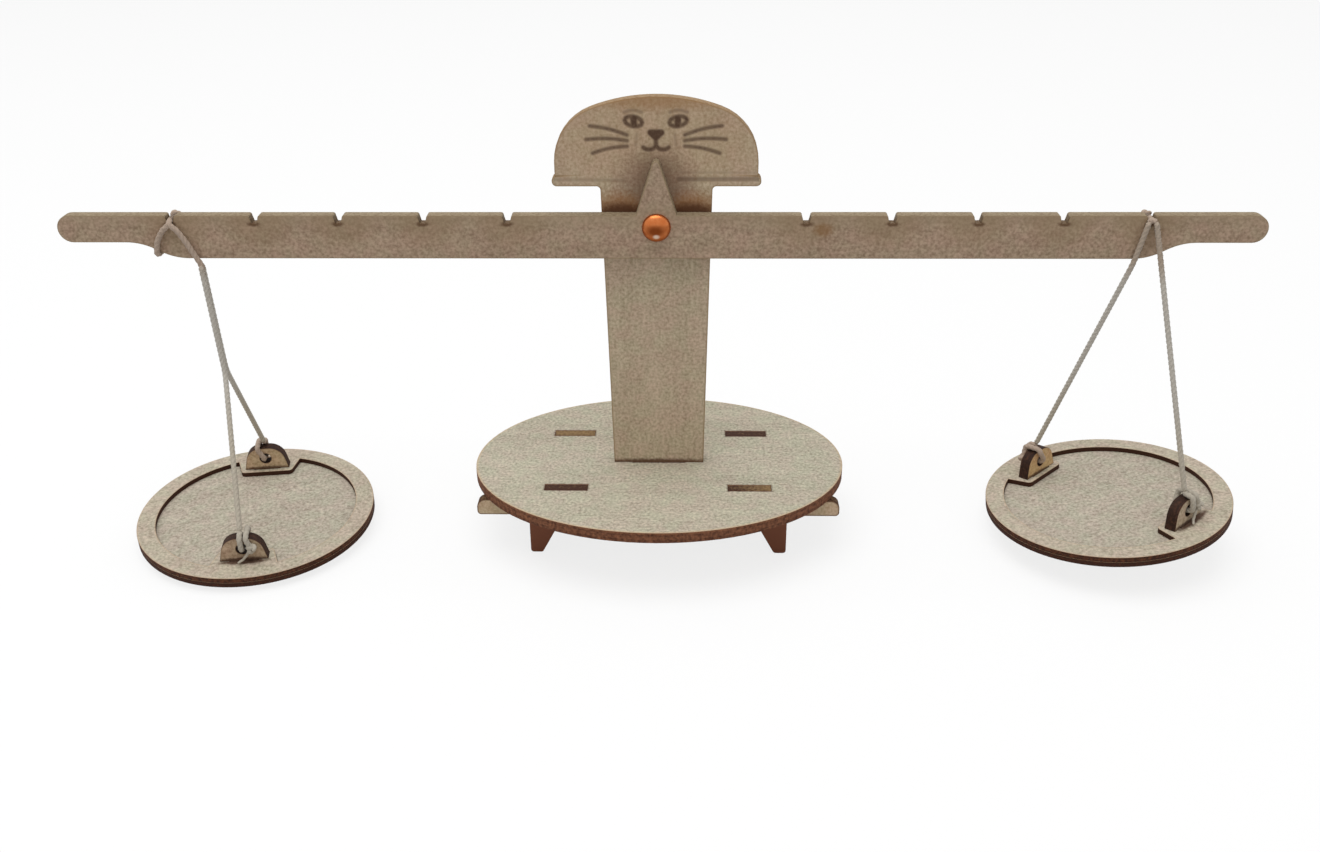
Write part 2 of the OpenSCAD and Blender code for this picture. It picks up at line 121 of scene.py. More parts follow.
# Matt white board: the eye gets no gloss from it, only a soft shadow, of which the camera is shown a fifth.
# Shadow rays pass it from below, so that a pan stays in sight at a pose that swings it under the table.
TABLE_SIZE, SHADOW_SHOWN = 3, 0.2
table_white, tree = material("table_white")
rays = add(tree, "LightPath")
paper = add(tree, "MixRGB", {0: rays.outputs["Is Camera Ray"], 1: linear("#d4d4d4"), 2: WHITE})
shaded = add(tree, "BsdfDiffuse", {"Color": paper.outputs[0]})
clear = add(tree, "BsdfTransparent", {"Color": WHITE})
below = add(tree, "NewGeometry")
under = add(tree, "Math", {0: rays.outputs["Is Shadow Ray"], 1: below.outputs["Backfacing"]},
            operation="MULTIPLY")
share = add(tree, "Math", {0: rays.outputs["Is Camera Ray"], 1: 1 - SHADOW_SHOWN, 2: under.outputs[0]},
            operation="MULTIPLY_ADD")
seen = add(tree, "MixShader", {0: share.outputs[0], 1: shaded.outputs[0], 2: clear.outputs[0]})
add(tree, "OutputMaterial", {"Surface": seen.outputs[0]})
made = bmesh.new()
bmesh.ops.create_grid(made, x_segments=1, y_segments=1, size=TABLE_SIZE)
table_mesh = bpy.data.meshes.new("table")
made.to_mesh(table_mesh)
made.free()
table_mesh.materials.append(table_white)
table = bpy.data.objects.new("table", table_mesh)
scene.collection.objects.link(table)

# The strings are soft cotton, three yarns laid together, 1.5 mm thick. Each runs from the beam to a lug.
# The left two hang one behind the other, then part. Their routes are those of the CAD solids.
STRING, STRING_LAY, STRING_Y = 0.0015, 0.0042, -0.00585
BEAM_BOTTOM = 0.0793
# The right two start side by side in their notch. The left two start in the end of their tie, under the beam.
NOTCH_X, NOTCH_Z, BESIDE_NOTCH = 0.12124, 0.08925, 0.00085
LEFT_EXIT_X, LEFT_START, SPLIT_Z, PAIR_R = -0.11484, 0.00135, 0.0483, 0.0009
# How far a lug's middle and outer face are from its pan's middle, and its top and hole above the pan's floor.
LUG_MID, LUG_OUT, LUG_HIGH, LUG_HOLE_UP = 0.0223, 0.0238, 0.0082, 0.0049
BEND = 0.00105
# A pan hangs askew: its floor's middle, how far it nods and leans, and the direction of its back lug.
PANS = {"left": (-0.11124, 0.005, 3.4, -0.4, 98), "right": (0.12124, 0.0111, -0.7, 6.6, 132)}
pan_place, lug_turn = {}, {}
for side, (x, floor, nod, lean, turn) in PANS.items():
    pan_place[side] = (
        Matrix.Translation((x, STRING_Y, floor))
        @ Matrix.Rotation(math.radians(-lean), 4, "Y")
        @ Matrix.Rotation(math.radians(nod), 4, "X")
    )
    for end, more in (("back", 0), ("front", 180)):
        lug_turn[side, end] = math.radians(turn + more)

# A tone comes on between two heights, in a colour and with a strength: soot at the beam, and lower down, over
# the pans, a darker and warmer tone.
NOTCH_SOOT = (0.074, 0.0795, "#a8927c", 0.7)
# Lower down, over the pans, the strings are darker and warmer.
LOWER_TONE = (0.046, 0.032, "#beb29c", 0.6)
COTTON_LUMP = 0.0004


def laid_cotton(name, shade, light, height_tones=()):
    """Undyed cotton, spun and laid: to the eye soft, dull and off-white, with a faint sheen from loose ends.

    Its fibres are 0.02 mm thick, too fine to show, so they are drawn as lumps of 0.4 mm."""
    made, tree = material(name)
    place = add(tree, "TexCoord")
    fibres = add(tree, "TexNoise",
                 {"Vector": place.outputs["Object"], "Scale": 1 / COTTON_LUMP, "Detail": 3, "Roughness": 0.7})
    tone = add(tree, "MixRGB", {0: fibres.outputs["Fac"], 1: linear(shade), 2: linear(light)})
    height = add(tree, "SeparateXYZ", {0: place.outputs["Object"]})
    for tone_from, tone_full, tint, strength in height_tones:
        toning = add(tree, "MapRange",
                   {"Value": height.outputs["Z"], "From Min": tone_from, "From Max": tone_full, "To Max": strength})
        tone = add(tree, "MixRGB", {0: toning.outputs[0], 1: tone.outputs[0], 2: linear(tint)})
    lumps = add(tree, "Bump", {"Height": fibres.outputs["Fac"], "Strength": 0.5, "Distance": 0.0001})
    soft = add(tree, "BsdfPrincipled",
               {"Base Color": tone.outputs[0], "Roughness": 0.9, "Specular IOR Level": 0.2,
                "Sheen Weight": 0.15, "Sheen Roughness": 0.5, "Normal": lumps.outputs[0]})
    add(tree, "OutputMaterial", {"Surface": soft.outputs[0]})
    return made


cotton = laid_cotton("laid_cotton", "#b3aca1", "#e0dacf", [NOTCH_SOOT, LOWER_TONE])


def finish_piece(name, mesh, body, slot, skin, *replaced):
    """A mesh as a piece of the toy, on its body, in its skin, in place of the CAD nodes that it replaces."""
    mesh.materials.append(skin)
    piece = bpy.data.objects.new(name, mesh)
    scene.collection.objects.link(piece)
    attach(piece, body)
    if replaced:
        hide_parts(*replaced)
    return piece


def spaced(route, step):
    """The route again, with points about a step apart."""
    out = []
    for a, b in zip(route, route[1:]):
        n = max(1, math.ceil((b - a).length / step))
        out += [a.lerp(b, i / n) for i in range(n)]
    return out + [route[-1]]


def eased(route, times):
    """The route with its corners rounded off; its ends stay."""
    for _ in range(times):
        inner = [(a + 2 * b + c) / 4 for a, b, c in zip(route, route[1:], route[2:])]
        route = [route[0]] + inner + [route[-1]]
    return route


YARN_SIDES, YARN_GROOVE, YARN_END = 18, 0.07, 0.55


def yarn(name, route, thick=STRING, tip=1):
    """A mesh of three yarns laid together along a route, by a curve's bevel. It may thin towards its tip.

    The grooves between the yarns take 14 per cent of its radius. Its first and last rings are drawn in."""
    outline = bpy.data.curves.new(name + "_outline", "CURVE")
    ring = outline.splines.new("POLY")
    ring.points.add(YARN_SIDES - 1)
    ring.use_cyclic_u = True
    for i, point in enumerate(ring.points):
        a = math.tau * i / YARN_SIDES
        r = thick / 2 * (1 - YARN_GROOVE + YARN_GROOVE * math.cos(3 * a))
        point.co = (r * math.cos(a), r * math.sin(a), 0, 1)
    outline_object = bpy.data.objects.new(name + "_outline", outline)
    line = bpy.data.curves.new(name, "CURVE")
    line.dimensions = "3D"
    line.bevel_mode = "OBJECT"
    line.bevel_object = outline_object
    line.use_fill_caps = True
    spline = line.splines.new("POLY")
    last = len(route) - 1
    spline.points.add(last)
    run = 0
    for i, (point, spot) in enumerate(zip(spline.points, route)):
        run += (spot - route[i - 1]).length if i else 0
        point.co = (*spot, 1)
        point.tilt = math.tau * run / STRING_LAY
        point.radius = (1 + (tip - 1) * i / last) * (1 if 0 < i < last else YARN_END)
    line_object = bpy.data.objects.new(name, line)
    scene.collection.objects.link(outline_object)
    scene.collection.objects.link(line_object)
    bpy.context.view_layer.update()
    mesh = bpy.data.meshes.new_from_object(line_object.evaluated_get(bpy.context.evaluated_depsgraph_get()))
    bpy.data.objects.remove(line_object)
    bpy.data.objects.remove(outline_object)
    mesh.name = name
    mesh.materials.clear()
    mesh.shade_smooth()
    mesh.set_sharp_from_angle(angle=math.radians(50))
    return mesh


def at_lug(side, end, out, up, across=0):
    """A point of a pan: how far out from its middle towards a lug, how far up, and how far across the lug."""
    turn = lug_turn[side, end]
    way, wide = Vector((math.cos(turn), math.sin(turn), 0)), Vector((-math.sin(turn), math.cos(turn), 0))
    return pan_place[side] @ (out * way + across * wide + Vector((0, 0, up)))


def lug_slant(side, end, start):
    """How far a string that comes from the start leans from the pan's upright."""
    start = pan_place[side].inverted() @ start
    turn = lug_turn[side, end]
    across = math.hypot(LUG_MID * math.cos(turn) - start.x, LUG_MID * math.sin(turn) - start.y)
    return math.atan2(across, start.z - LUG_HIGH)


def over_lug(side, end, slant):
    """The point at which a string with such a slant begins to bend over the lug's top."""
    out, up = LUG_MID + BEND - BEND * math.cos(slant), LUG_HIGH + 2 * BEND - BEND * math.sin(slant)
    return at_lug(side, end, out, up)


def left_pair(z, turn):
    """The point at a height of that one of the left pair which goes to the lug in that direction."""
    x, floor = PANS["left"][:2]
    part = (BEAM_BOTTOM - z) / (BEAM_BOTTOM - floor)
    x = LEFT_EXIT_X + (x - LEFT_EXIT_X) * part
    return Vector((x + PAIR_R * math.cos(turn), STRING_Y + PAIR_R * math.sin(turn), z))


lug_slants = {}
for side, end in lug_turn:
    if side == "left":
        turn = lug_turn[side, end]
        start, hang = left_pair(BEAM_BOTTOM - LEFT_START, turn), left_pair(SPLIT_Z, turn)
        route = [start, hang]
    else:
        way = -1 if end == "back" else 1
        start = hang = Vector((NOTCH_X + way * BESIDE_NOTCH, STRING_Y, NOTCH_Z))
        route = [start]
    slant = lug_slants[side, end] = lug_slant(side, end, hang)
    bend = over_lug(side, end, slant)
    # The right back string stays in front of the beam down to its lower edge, and then leads back to its lug.
    if (side, end) == ("right", "back"):
        edge_z = BEAM_BOTTOM - STRING / 2
        part = (start.z - edge_z) / (start.z - bend.z)
        route.append(Vector((start.x + (bend.x - start.x) * part, STRING_Y, edge_z)))
    route = eased(spaced(route + [bend], 0.0006), 12)
    name = f"{side}_{end}_string"
    piece = finish_piece(name + "_yarn", yarn(name + "_yarn", route), f"{side}_pan", "string", cotton, name)

# The base plate is an oval of 3 mm birch plywood, cut by laser. The cut burns its edges red-brown.
# The burn leaves a toasted rim on the faces beside them. Slots take the tenons of the rails and the post.
RAIL_Y, TENON_X, BASE_TOP = 0.0154, 0.0242, 0.0193
RAIL_SLOT_HALF, POST_SLOT_HALF, SLOT_REACH = 0.0112, 0.0085, 0.003
# How many there are to the metre of each of the wood's patterns: flecks of 0.9 mm and streaks of 5.6 mm, both
# five times as long as wide, specks of 0.8 mm, and patches of 4.5 mm with a slight turn of hue.
FLECKS, STREAKS, SPECKS, PATCHES, LONG = 1100, 180, 1300, 220, 5
ENGRAVED = "#574030"


def stain(centre, radii, tint, strength, soft=0.5, turn=0, folded=False):
    """A stain on a board: its middle, its radii, how soft its edge is, and how far it is turned about Z."""
    return centre, radii, tint, strength, soft, turn, folded


def plywood(name, grain, face, pale, edge, burnt, toast, stains=(), fold=None):
    """Bare birch plywood, sanded and cut by laser: to the eye dry and matt, cream with a fine brown fleck.

    Its rim is toasted and then burnt. Where the attribute cut is 1, it shows its plies' ends under char.
    Birch fibre is 0.03 mm wide, too fine to show, so it is drawn as flecks of 0.9 mm.
    Fold is the place and the pitch along X of the notches, at each of which a folded stain is repeated."""
    made, tree = material(name)
    place = add(tree, "TexCoord")
    along = add(tree, "Mapping",
                {"Vector": place.outputs["Object"], "Rotation": grain, "Scale": (LONG, 1, 1)},
                vector_type="TEXTURE")
    fibre = add(tree, "TexNoise",
                {"Vector": along.outputs[0], "Scale": FLECKS, "Detail": 4, "Roughness": 0.65})
    drift = add(tree, "TexNoise", {"Vector": along.outputs[0], "Scale": STREAKS, "Detail": 2})
    speck = add(tree, "TexNoise",
                {"Vector": place.outputs["Object"], "Scale": SPECKS, "Detail": 2, "Roughness": 0.6})
    tone = 0
    for pattern, part in ((fibre, 0.22), (drift, 0.13), (speck, 0.65)):
        mixed = add(tree, "Math", {0: pattern.outputs["Fac"], 1: part, 2: tone}, operation="MULTIPLY_ADD")
        tone = mixed.outputs[0]
    tone = add(tree, "MapRange", {"Value": tone, "From Min": 0.34, "From Max": 0.66})
    wood = add(tree, "MixRGB", {0: tone.outputs[0], 1: linear(face), 2: linear(pale)})
    patch = add(tree, "TexNoise", {"Vector": place.outputs["Object"], "Scale": PATCHES, "Detail": 1})
    patch = add(tree, "MapRange", {"Value": patch.outputs["Fac"], "From Min": 0.35, "From Max": 0.65})
    hue = add(tree, "MixRGB", {0: patch.outputs[0], 1: linear("#fffafa"), 2: linear("#fbfffa")})
    wood = add(tree, "MixRGB", {0: 1, 1: wood.outputs[0], 2: hue.outputs[0]}, blend_type="MULTIPLY")

    # Along the rim toast turns to burn. Below nothing the same attribute brings soot.
    rough = add(tree, "Math", {0: speck.outputs["Fac"], 1: 0.5}, operation="SUBTRACT")
    rim = add(tree, "Attribute", attribute_name="rim")
    haze = add(tree, "Math", {0: rough.outputs[0], 1: 0.5, 2: rim.outputs["Fac"]}, operation="MULTIPLY_ADD")
    for none, full, most, tint in ((0.05, 0.6, 1, toast), (0.55, 0.95, 1, burnt), (-0.35, -1.1, 0.75, burnt)):
        laid = add(tree, "MapRange",
                   {"Value": haze.outputs[0], "From Min": none, "From Max": full, "To Max": most})
        wood = add(tree, "MixRGB", {0: laid.outputs[0], 1: wood.outputs[0], 2: linear(tint)})

    # Folded, X counts from the nearest notch of either half, and beyond the last notch it is a metre off.
    spots = {False: place.outputs["Object"]}
    if fold:
        first, pitch = fold
        parts = add(tree, "SeparateXYZ", {0: place.outputs["Object"]})
        out = add(tree, "Math", {0: parts.outputs["X"]}, operation="ABSOLUTE")
        out = add(tree, "Math", {0: out.outputs[0], 1: first}, operation="SUBTRACT")
        near = add(tree, "Math", {0: out.outputs[0], 1: -pitch / 2, 2: pitch / 2}, operation="WRAP")
        inside = add(tree, "Math", {0: out.outputs[0], 1: 2 * pitch, 2: 2.5 * pitch}, operation="COMPARE")
        beyond = add(tree, "Math", {0: 1, 1: inside.outputs[0]}, operation="SUBTRACT")
        near = add(tree, "Math", {0: near.outputs[0], 1: beyond.outputs[0]}, operation="ADD")
        spot = add(tree, "CombineXYZ",
                   {"X": near.outputs[0], "Y": parts.outputs["Y"], "Z": parts.outputs["Z"]})
        spots[True] = spot.outputs[0]
    for centre, radii, tint, strength, soft, turn, folded in stains:
        away = add(tree, "Mapping",
                   {"Vector": spots[folded], "Location": centre, "Rotation": (0, 0, turn), "Scale": radii},
                   vector_type="TEXTURE")
        away = add(tree, "VectorMath", {0: away.outputs[0]}, operation="LENGTH")
        away = add(tree, "Math", {0: rough.outputs[0], 1: soft, 2: away.outputs["Value"]},
                   operation="MULTIPLY_ADD")
        near = add(tree, "MapRange",
                   {"Value": away.outputs[0], "From Min": 1 + soft, "From Max": 1 - soft, "To Max": strength},
                   interpolation_type="SMOOTHSTEP")
        wood = add(tree, "MixRGB", {0: near.outputs[0], 1: wood.outputs[0], 2: linear(tint)})
    burn = add(tree, "Attribute", attribute_name="burn")
    burn = add(tree, "Math", {0: rough.outputs[0], 1: 0.6, 2: burn.outputs["Fac"]}, operation="MULTIPLY_ADD")
    burn = add(tree, "MapRange", {"Value": burn.outputs[0], "From Min": 0.15, "From Max": 1})
    wood = add(tree, "MixRGB", {0: burn.outputs[0], 1: wood.outputs[0], 2: linear(ENGRAVED)})

    # On a cut edge the middle ply chars less than those beside it, and the one under the outer face least.
    depth = add(tree, "Attribute", attribute_name="depth")
    from_core = add(tree, "Math", {0: depth.outputs["Fac"]}, operation="ABSOLUTE")
    core = add(tree, "MapRange",
               {"Value": from_core.outputs[0], "From Min": 0.3, "From Max": 0.38, "To Max": 0.15})
    skin_ply = add(tree, "MapRange",
                   {"Value": depth.outputs["Fac"], "From Min": 0.5, "From Max": 1, "To Max": -0.3})
    char = add(tree, "Attribute", attribute_name="char")
    char = add(tree, "Math", {0: rough.outputs[0], 1: 1.6, 2: char.outputs["Fac"]}, operation="MULTIPLY_ADD")
    for ply in (core, skin_ply):
        char = add(tree, "Math", {0: char.outputs[0], 1: ply.outputs[0]}, operation="ADD")
    char = add(tree, "MapRange", {"Value": char.outputs[0]})
    sides = add(tree, "MixRGB", {0: char.outputs[0], 1: linear(edge), 2: linear(burnt)})
    cut = add(tree, "Attribute", attribute_name="cut")
    colour = add(tree, "MixRGB", {0: cut.outputs["Fac"], 1: wood.outputs[0], 2: sides.outputs[0]})
    bump = add(tree, "Bump", {"Height": fibre.outputs["Fac"], "Strength": 0.2, "Distance": 0.0001})
    skin = add(tree, "BsdfPrincipled",
               {"Base Color": colour.outputs[0], "Roughness": 0.75, "Specular IOR Level": 0.25,
                "Normal": bump.outputs[0]})
    add(tree, "OutputMaterial", {"Surface": skin.outputs[0]})
    return made


EASE = 0.00012
DOUBLES, SAME_PLANE, SMOOTH = 1e-6, math.radians(0.5), math.radians(25)


def board(node, out, skin, body, char, slot="plywood", band=0.0005, scorch=0.5):
    """A CAD board again, its long edges eased. It carries where it is cut, how deep, how charred and toasted.

    Out is the way that its outer face looks. Char and scorch are numbers, or functions of a spot."""
    out = Vector(out).normalized()

    def at(amount, spot):
        return amount(spot) if callable(amount) else amount

    def flatness(face):
        return abs(face.normal.dot(out))

    made = bmesh.new()
    made.from_mesh(nodes[node].data)
    bmesh.ops.remove_doubles(made, verts=made.verts, dist=DOUBLES)
    bmesh.ops.dissolve_limit(made, angle_limit=SAME_PLANE, edges=made.edges, verts=made.verts)
    reach = [v.co.dot(out) for v in made.verts]
    middle, half = (max(reach) + min(reach)) / 2, (max(reach) - min(reach)) / 2
    rim = made.verts.layers.float.new("rim")
    for v in made.verts:
        v[rim] = at(scorch, v.co)
    for way in (-1, 1):
        flat = [f for f in made.faces if f.normal.dot(out) * way > 0.7]
        bmesh.ops.inset_region(made, faces=flat, thickness=band, use_boundary=True, use_even_offset=True)
        for v in {v for f in flat for v in f.verts}:
            v[rim] = 0
    edges = [e for e in made.edges if len(e.link_faces) == 2 and
             min(map(flatness, e.link_faces)) < 0.5 < max(map(flatness, e.link_faces))]
    bmesh.ops.bevel(made, geom=edges, offset=EASE, offset_type="OFFSET", segments=2, profile=0.5,
                    affect="EDGES", material=-1, clamp_overlap=True)
    cut = made.faces.layers.float.new("cut")
    depth, chars = made.verts.layers.float.new("depth"), made.verts.layers.float.new("char")
    for f in made.faces:
        f[cut] = flatness(f) < 0.7
    for v in made.verts:
        v[depth] = (v.co.dot(out) - middle) / half
        v[chars] = at(char, v.co)
    mesh = bpy.data.meshes.new(node + "_board")
    made.to_mesh(mesh)
    made.free()
    mesh.shade_smooth()
    mesh.set_sharp_from_angle(angle=SMOOTH)
    return finish_piece(node + "_board", mesh, body, slot, skin, node)


def by_slot(spot):
    """The plate's rim is toasted. Beside a slot there is soot instead, which is below 0 on that scale."""
    rails = abs(abs(spot.x) - TENON_X) < RAIL_SLOT_HALF and abs(abs(spot.y) - RAIL_Y) < SLOT_REACH
    post = abs(spot.x) < POST_SLOT_HALF and abs(spot.y) < SLOT_REACH
    return -1 if rails or post else 0.45


plate_wood = plywood("plate_plywood", (0, 0, 0), "#958d7d", "#d6ceba", "#a56e4e", "#502e1e", "#ccb28e")
board("base_plate", (0, 0, 1), plate_wood, "stand", 0.6, band=0.0009, scorch=by_slot)

# The two foot rails stand on edge under the plate, with tenons that come up through it.
# Under the plate their faces are painted red-brown: painted shade of the plate above, with some burn. Their
# arms' ends, out beyond the plate, are clean.
PLATE_SHADE_UP, PLATE_SHADE_LONG, PLATE_SHADE_HIGH = 0.0082, 0.0385, 0.03


def tenon_char(spot):
    """Two of the four tenons have charred tops. The other two show end grain, charred at one end."""
    if spot.z < BASE_TOP - 0.0005:
        return 0.75
    if spot.x * spot.y > 0:
        return 1
    return 0.9 if abs(spot.x) < TENON_X and spot.y < 0 else 0.2


for end, y in (("front", -RAIL_Y), ("rear", RAIL_Y)):
    # Painted shade of the plate above, with some burn, on the rail's face under it.
    plate_shade_and_burn = stain((0, y, PLATE_SHADE_UP), (PLATE_SHADE_LONG, PLATE_SHADE_HIGH, PLATE_SHADE_HIGH), "#84523c", 1, 0.1)
    rail_wood = plywood(f"{end}_rail_plywood", (0, 0, 0), "#b09474", "#dcc6a8", "#90744e", "#3a1d0e",
                        "#6a4c34", [plate_shade_and_burn])
    board(f"{end}_foot_rail", (0, 1, 0), rail_wood, "stand", tenon_char, scorch=0.75)

# The post is one board with its grain upright. Its edges are toasted, not charred.
# Smoke has browned its head and the wood above the beam beside the pointer. Round the pointer a brown halo is
# painted shadow of the pointer, along the beam's top edge a darker line is painted shade where the beam meets
# the post, and a dark line crosses its foot above the plate.
POST_FRONT, BEAM_TOP = -0.0015, 0.0905
# Each is given by its place along X and Z and its radii there. In depth they are all one board thick.
POST_SMOKE_AND_SHADE = [
    (0, 0.109, 0.03, 0.014, "#af8459", 0.3),
    # Painted shadow of the pointer, as a brown halo round it.
    (0, BEAM_TOP + 0.003, 0.0095, 0.0115, "#715343", 0.65),
    (-0.0095, BEAM_TOP, 0.0068, 0.0046, "#9a6a3c", 0.7),
    (0.0095, BEAM_TOP, 0.0068, 0.0046, "#9a6a3c", 0.7),
    # Painted shade where the beam meets the post, as a dark line along the beam's top edge.
    (-0.0088, BEAM_TOP - 0.0003, 0.0056, 0.0024, "#58351f", 0.9),
    (0.0088, BEAM_TOP - 0.0003, 0.0056, 0.0024, "#58351f", 0.9),
    (0, 0.1195, 0.02, 0.0034, "#a07445", 0.55),
    # A dark line across the post's foot, just above the plate.
    (0, BASE_TOP, 0.017, 0.0011, "#5c3c28", 0.9),
]
post_smoke_and_shade = []
for x, z, wide, high, tint, strength in POST_SMOKE_AND_SHADE:
    post_smoke_and_shade.append(stain((x, POST_FRONT, z), (wide, 0.003, high), tint, strength))
post_wood = plywood("post_plywood", (0, -math.pi / 2, 0), "#a08d75", "#d8c5ac", "#a58a68", "#6e5138",
                    "#94764f", post_smoke_and_shade)
post = board("post", (0, 1, 0), post_wood, "stand", 0.2)

# The laser engraved the head: a cat's face with whiskers, and lines along the brim.
# A stroke is a line of points in millimetres to the right of the middle and above the table, then its half
# width in millimetres and its depth, where 1 is the deepest.
strokes = [
    ([(-1.3, 110.3), (1.3, 110.3), (0, 109), (-1.3, 110.3)], 0.55, 1),
    ([(0, 109), (0, 107.4)], 0.3, 0.9),
    ([(5.5, 98.7), (25.2, 98.7)], 0.35, 0.55),
    ([(6, 100.4), (24.4, 100.3)], 0.15, 0.3),
    ([(-25.2, 98.6), (-8, 98.4)], 0.25, 0.35),
]
WHISKERS = ((109.7, 111.9, 16), (108.3, 108.6, 17), (106.9, 105.2, 15.5))
for side in (-1, 1):
    turns = [math.tau * i / 12 for i in range(13)]
    eye = [(5.4 + 2.1 * math.cos(a), 113 + 1.2 * math.sin(a) + 0.3 * math.cos(a)) for a in turns]
    brow = [(3.4 + 0.6 * i, 115.2 + 0.5 * math.sin(math.pi * i / 7)) for i in range(8)]
    turns = [math.pi * i / 10 for i in range(9)]
    mouth = [(1.7 - 1.7 * math.cos(a), 107.4 - 1.3 * math.sin(a)) for a in turns]
    cheek = [(4.6 + 0.1 * i, 109.9 - 0.9 * i) for i in range(4)]
    pupil = [(5.3, 112.3), (5.3, 113.7)]
    half_face = [(eye, 0.3, 0.9), (pupil, 0.6, 1), (brow, 0.2, 0.5), (mouth, 0.3, 0.9), (cheek, 0.2, 0.35)]
    for root, tip, reach in WHISKERS:
        parts = [i / 6 for i in range(7)]
        line = [(7 + (reach - 7) * t, root + (tip - root) * t + 0.4 * math.sin(math.pi * t)) for t in parts]
        half_face.append((line, 0.25, 0.8))
    strokes += [([(side * x, z) for x, z in line], half, deep) for line, half, deep in half_face]


def burnt_by(stroke, x, z):
    """How deeply a stroke burns a spot. It fades out over 0.55 mm beside the stroke."""
    line, half, deep = stroke
    best = 1e9
    for (ax, az), (bx, bz) in zip(line, line[1:]):
        run = (bx - ax) ** 2 + (bz - az) ** 2
        t = min(1, max(0, ((x - ax) * (bx - ax) + (z - az) * (bz - az)) / run))
        best = min(best, math.hypot(x - ax - t * (bx - ax), z - az - t * (bz - az)))
    return deep * min(1, max(0, 1 - (best - half) / 0.55))


# The front of the head is cut into cells of 0.3 mm, which carry the burn and sink by 0.12 mm with it.
CELL, SUNK = 0.0003, 0.00012
HEAD_LOW, HEAD_TOP, HEAD_HALF = 0.0978, 0.1164, 0.0252
HAIR = 1e-6
made = bmesh.new()
made.from_mesh(post.data)
burn = made.verts.layers.float.new("burn")


def post_front():
    return [f for f in made.faces if f.normal.y < -0.99 and abs(f.calc_center_median().y - POST_FRONT) < 1e-5]


def head_front():
    middles = [(f, f.calc_center_median()) for f in post_front()]
    return [f for f, m in middles if HEAD_LOW - HAIR < m.z < HEAD_TOP + HAIR and abs(m.x) < HEAD_HALF + HAIR]


def cut_faces(faces, spot, normal):
    geom = {e for f in faces for e in f.edges} | {v for f in faces for v in f.verts}
    bmesh.ops.bisect_plane(made, geom=list(geom) + faces, dist=1e-7, plane_co=spot, plane_no=normal)


for z in (HEAD_LOW, HEAD_TOP):
    cut_faces(post_front(), (0, 0, z), (0, 0, 1))
for x in (-HEAD_HALF, HEAD_HALF):
    cut_faces(post_front(), (x, 0, 0), (1, 0, 0))
for i in range(1, round(2 * HEAD_HALF / CELL)):
    cut_faces(head_front(), (-HEAD_HALF + i * CELL, 0, 0), (1, 0, 0))
for i in range(1, round((HEAD_TOP - HEAD_LOW) / CELL)):
    cut_faces(head_front(), (0, 0, HEAD_LOW + i * CELL), (0, 0, 1))
for v in {v for f in head_front() for v in f.verts if all(g.normal.y < -0.99 for g in v.link_faces)}:
    v[burn] = max(burnt_by(stroke, v.co.x * 1000, v.co.z * 1000) for stroke in strokes)
    v.co.y += SUNK * v[burn]
made.to_mesh(post.data)
made.free()
post.data.shade_smooth()
post.data.set_sharp_from_angle(angle=SMOOTH)

# The beam is one long board, toasted on top and darker in its notches. A drop of glue has browned it once.
# Its ten notches, five to each side, were cut with it, and the laser charred them more than its long edges.
FIRST_NOTCH, NOTCH_PITCH, NOTCH_BOTTOM, NOTCHES_END = 0.03704, 0.02105, 0.0884, 0.124
BEAM_FRONT, BEAM_BACK = -0.0048, -0.0018


def beam_char(spot):
    """The notches' bottoms are charred most, their sides less, and the rest of the beam's edge hardly."""
    if abs(spot.x) >= NOTCHES_END or not NOTCH_BOTTOM - 0.0001 < spot.z < BEAM_TOP - 0.0003:
        return 0.1
    return 0.7 if spot.z < NOTCH_BOTTOM + 0.0002 else 0.35


beam_stains = [
    stain((0, BEAM_FRONT, BEAM_TOP), (0.2, 0.003, 0.0028), "#a38f74", 0.4),
    stain((-0.001, BEAM_FRONT, BEAM_TOP - 0.002), (0.0075, 0.003, 0.0055), "#957d5e", 0.4, folded=True),
    stain((0.0001, BEAM_FRONT, NOTCH_BOTTOM - 0.0001), (0.0015, 0.003, 0.0006), "#5c4029", 0.85, folded=True),
    stain((0.0412, BEAM_FRONT, 0.0868), (0.0022, 0.003, 0.0016), "#8a6238", 0.6),
]
beam_wood = plywood("beam_plywood", (0, 0, 0), "#8d7661", "#c4ab94", "#9a8a71", "#5b412a", "#94805f",
                    beam_stains, (FIRST_NOTCH, NOTCH_PITCH))
board("beam", (0, 1, 0), beam_wood, "beam", beam_char, band=0.0004)

# The fastener is a split pin of coppered steel: a domed head in front, and two prongs bent flat at the back.
# It is stamped from plated strip, so it has soft dents. Across its head's middle a dark reflection is
# painted, and below it a pale highlight.
PIVOT_Z = 0.0874
DOME_BACK, DOME_R, DOME_HIGH = BEAM_FRONT + 0.0002, 0.0036, 0.0021
SHANK_R, PRONG_FRONT, PRONG_THICK, PRONG_LONG, PRONG_WIDE = 0.0012, 0.0017, 0.0007, 0.009, 0.0024
DENTS = 900
# Painted on the head: a dark brown reflection across its middle, and a pale highlight below it.
PAINTED_REFLECTIONS = [
    ((-0.0002, -0.0064, PIVOT_Z - 0.0004), (0.0022, 0.002, 0.0014), "#7e3c18", 0.9),
    ((0, -0.0064, PIVOT_Z - 0.0019), (0.0008, 0.002, 0.0006), "#ead2be", 0.9),
]
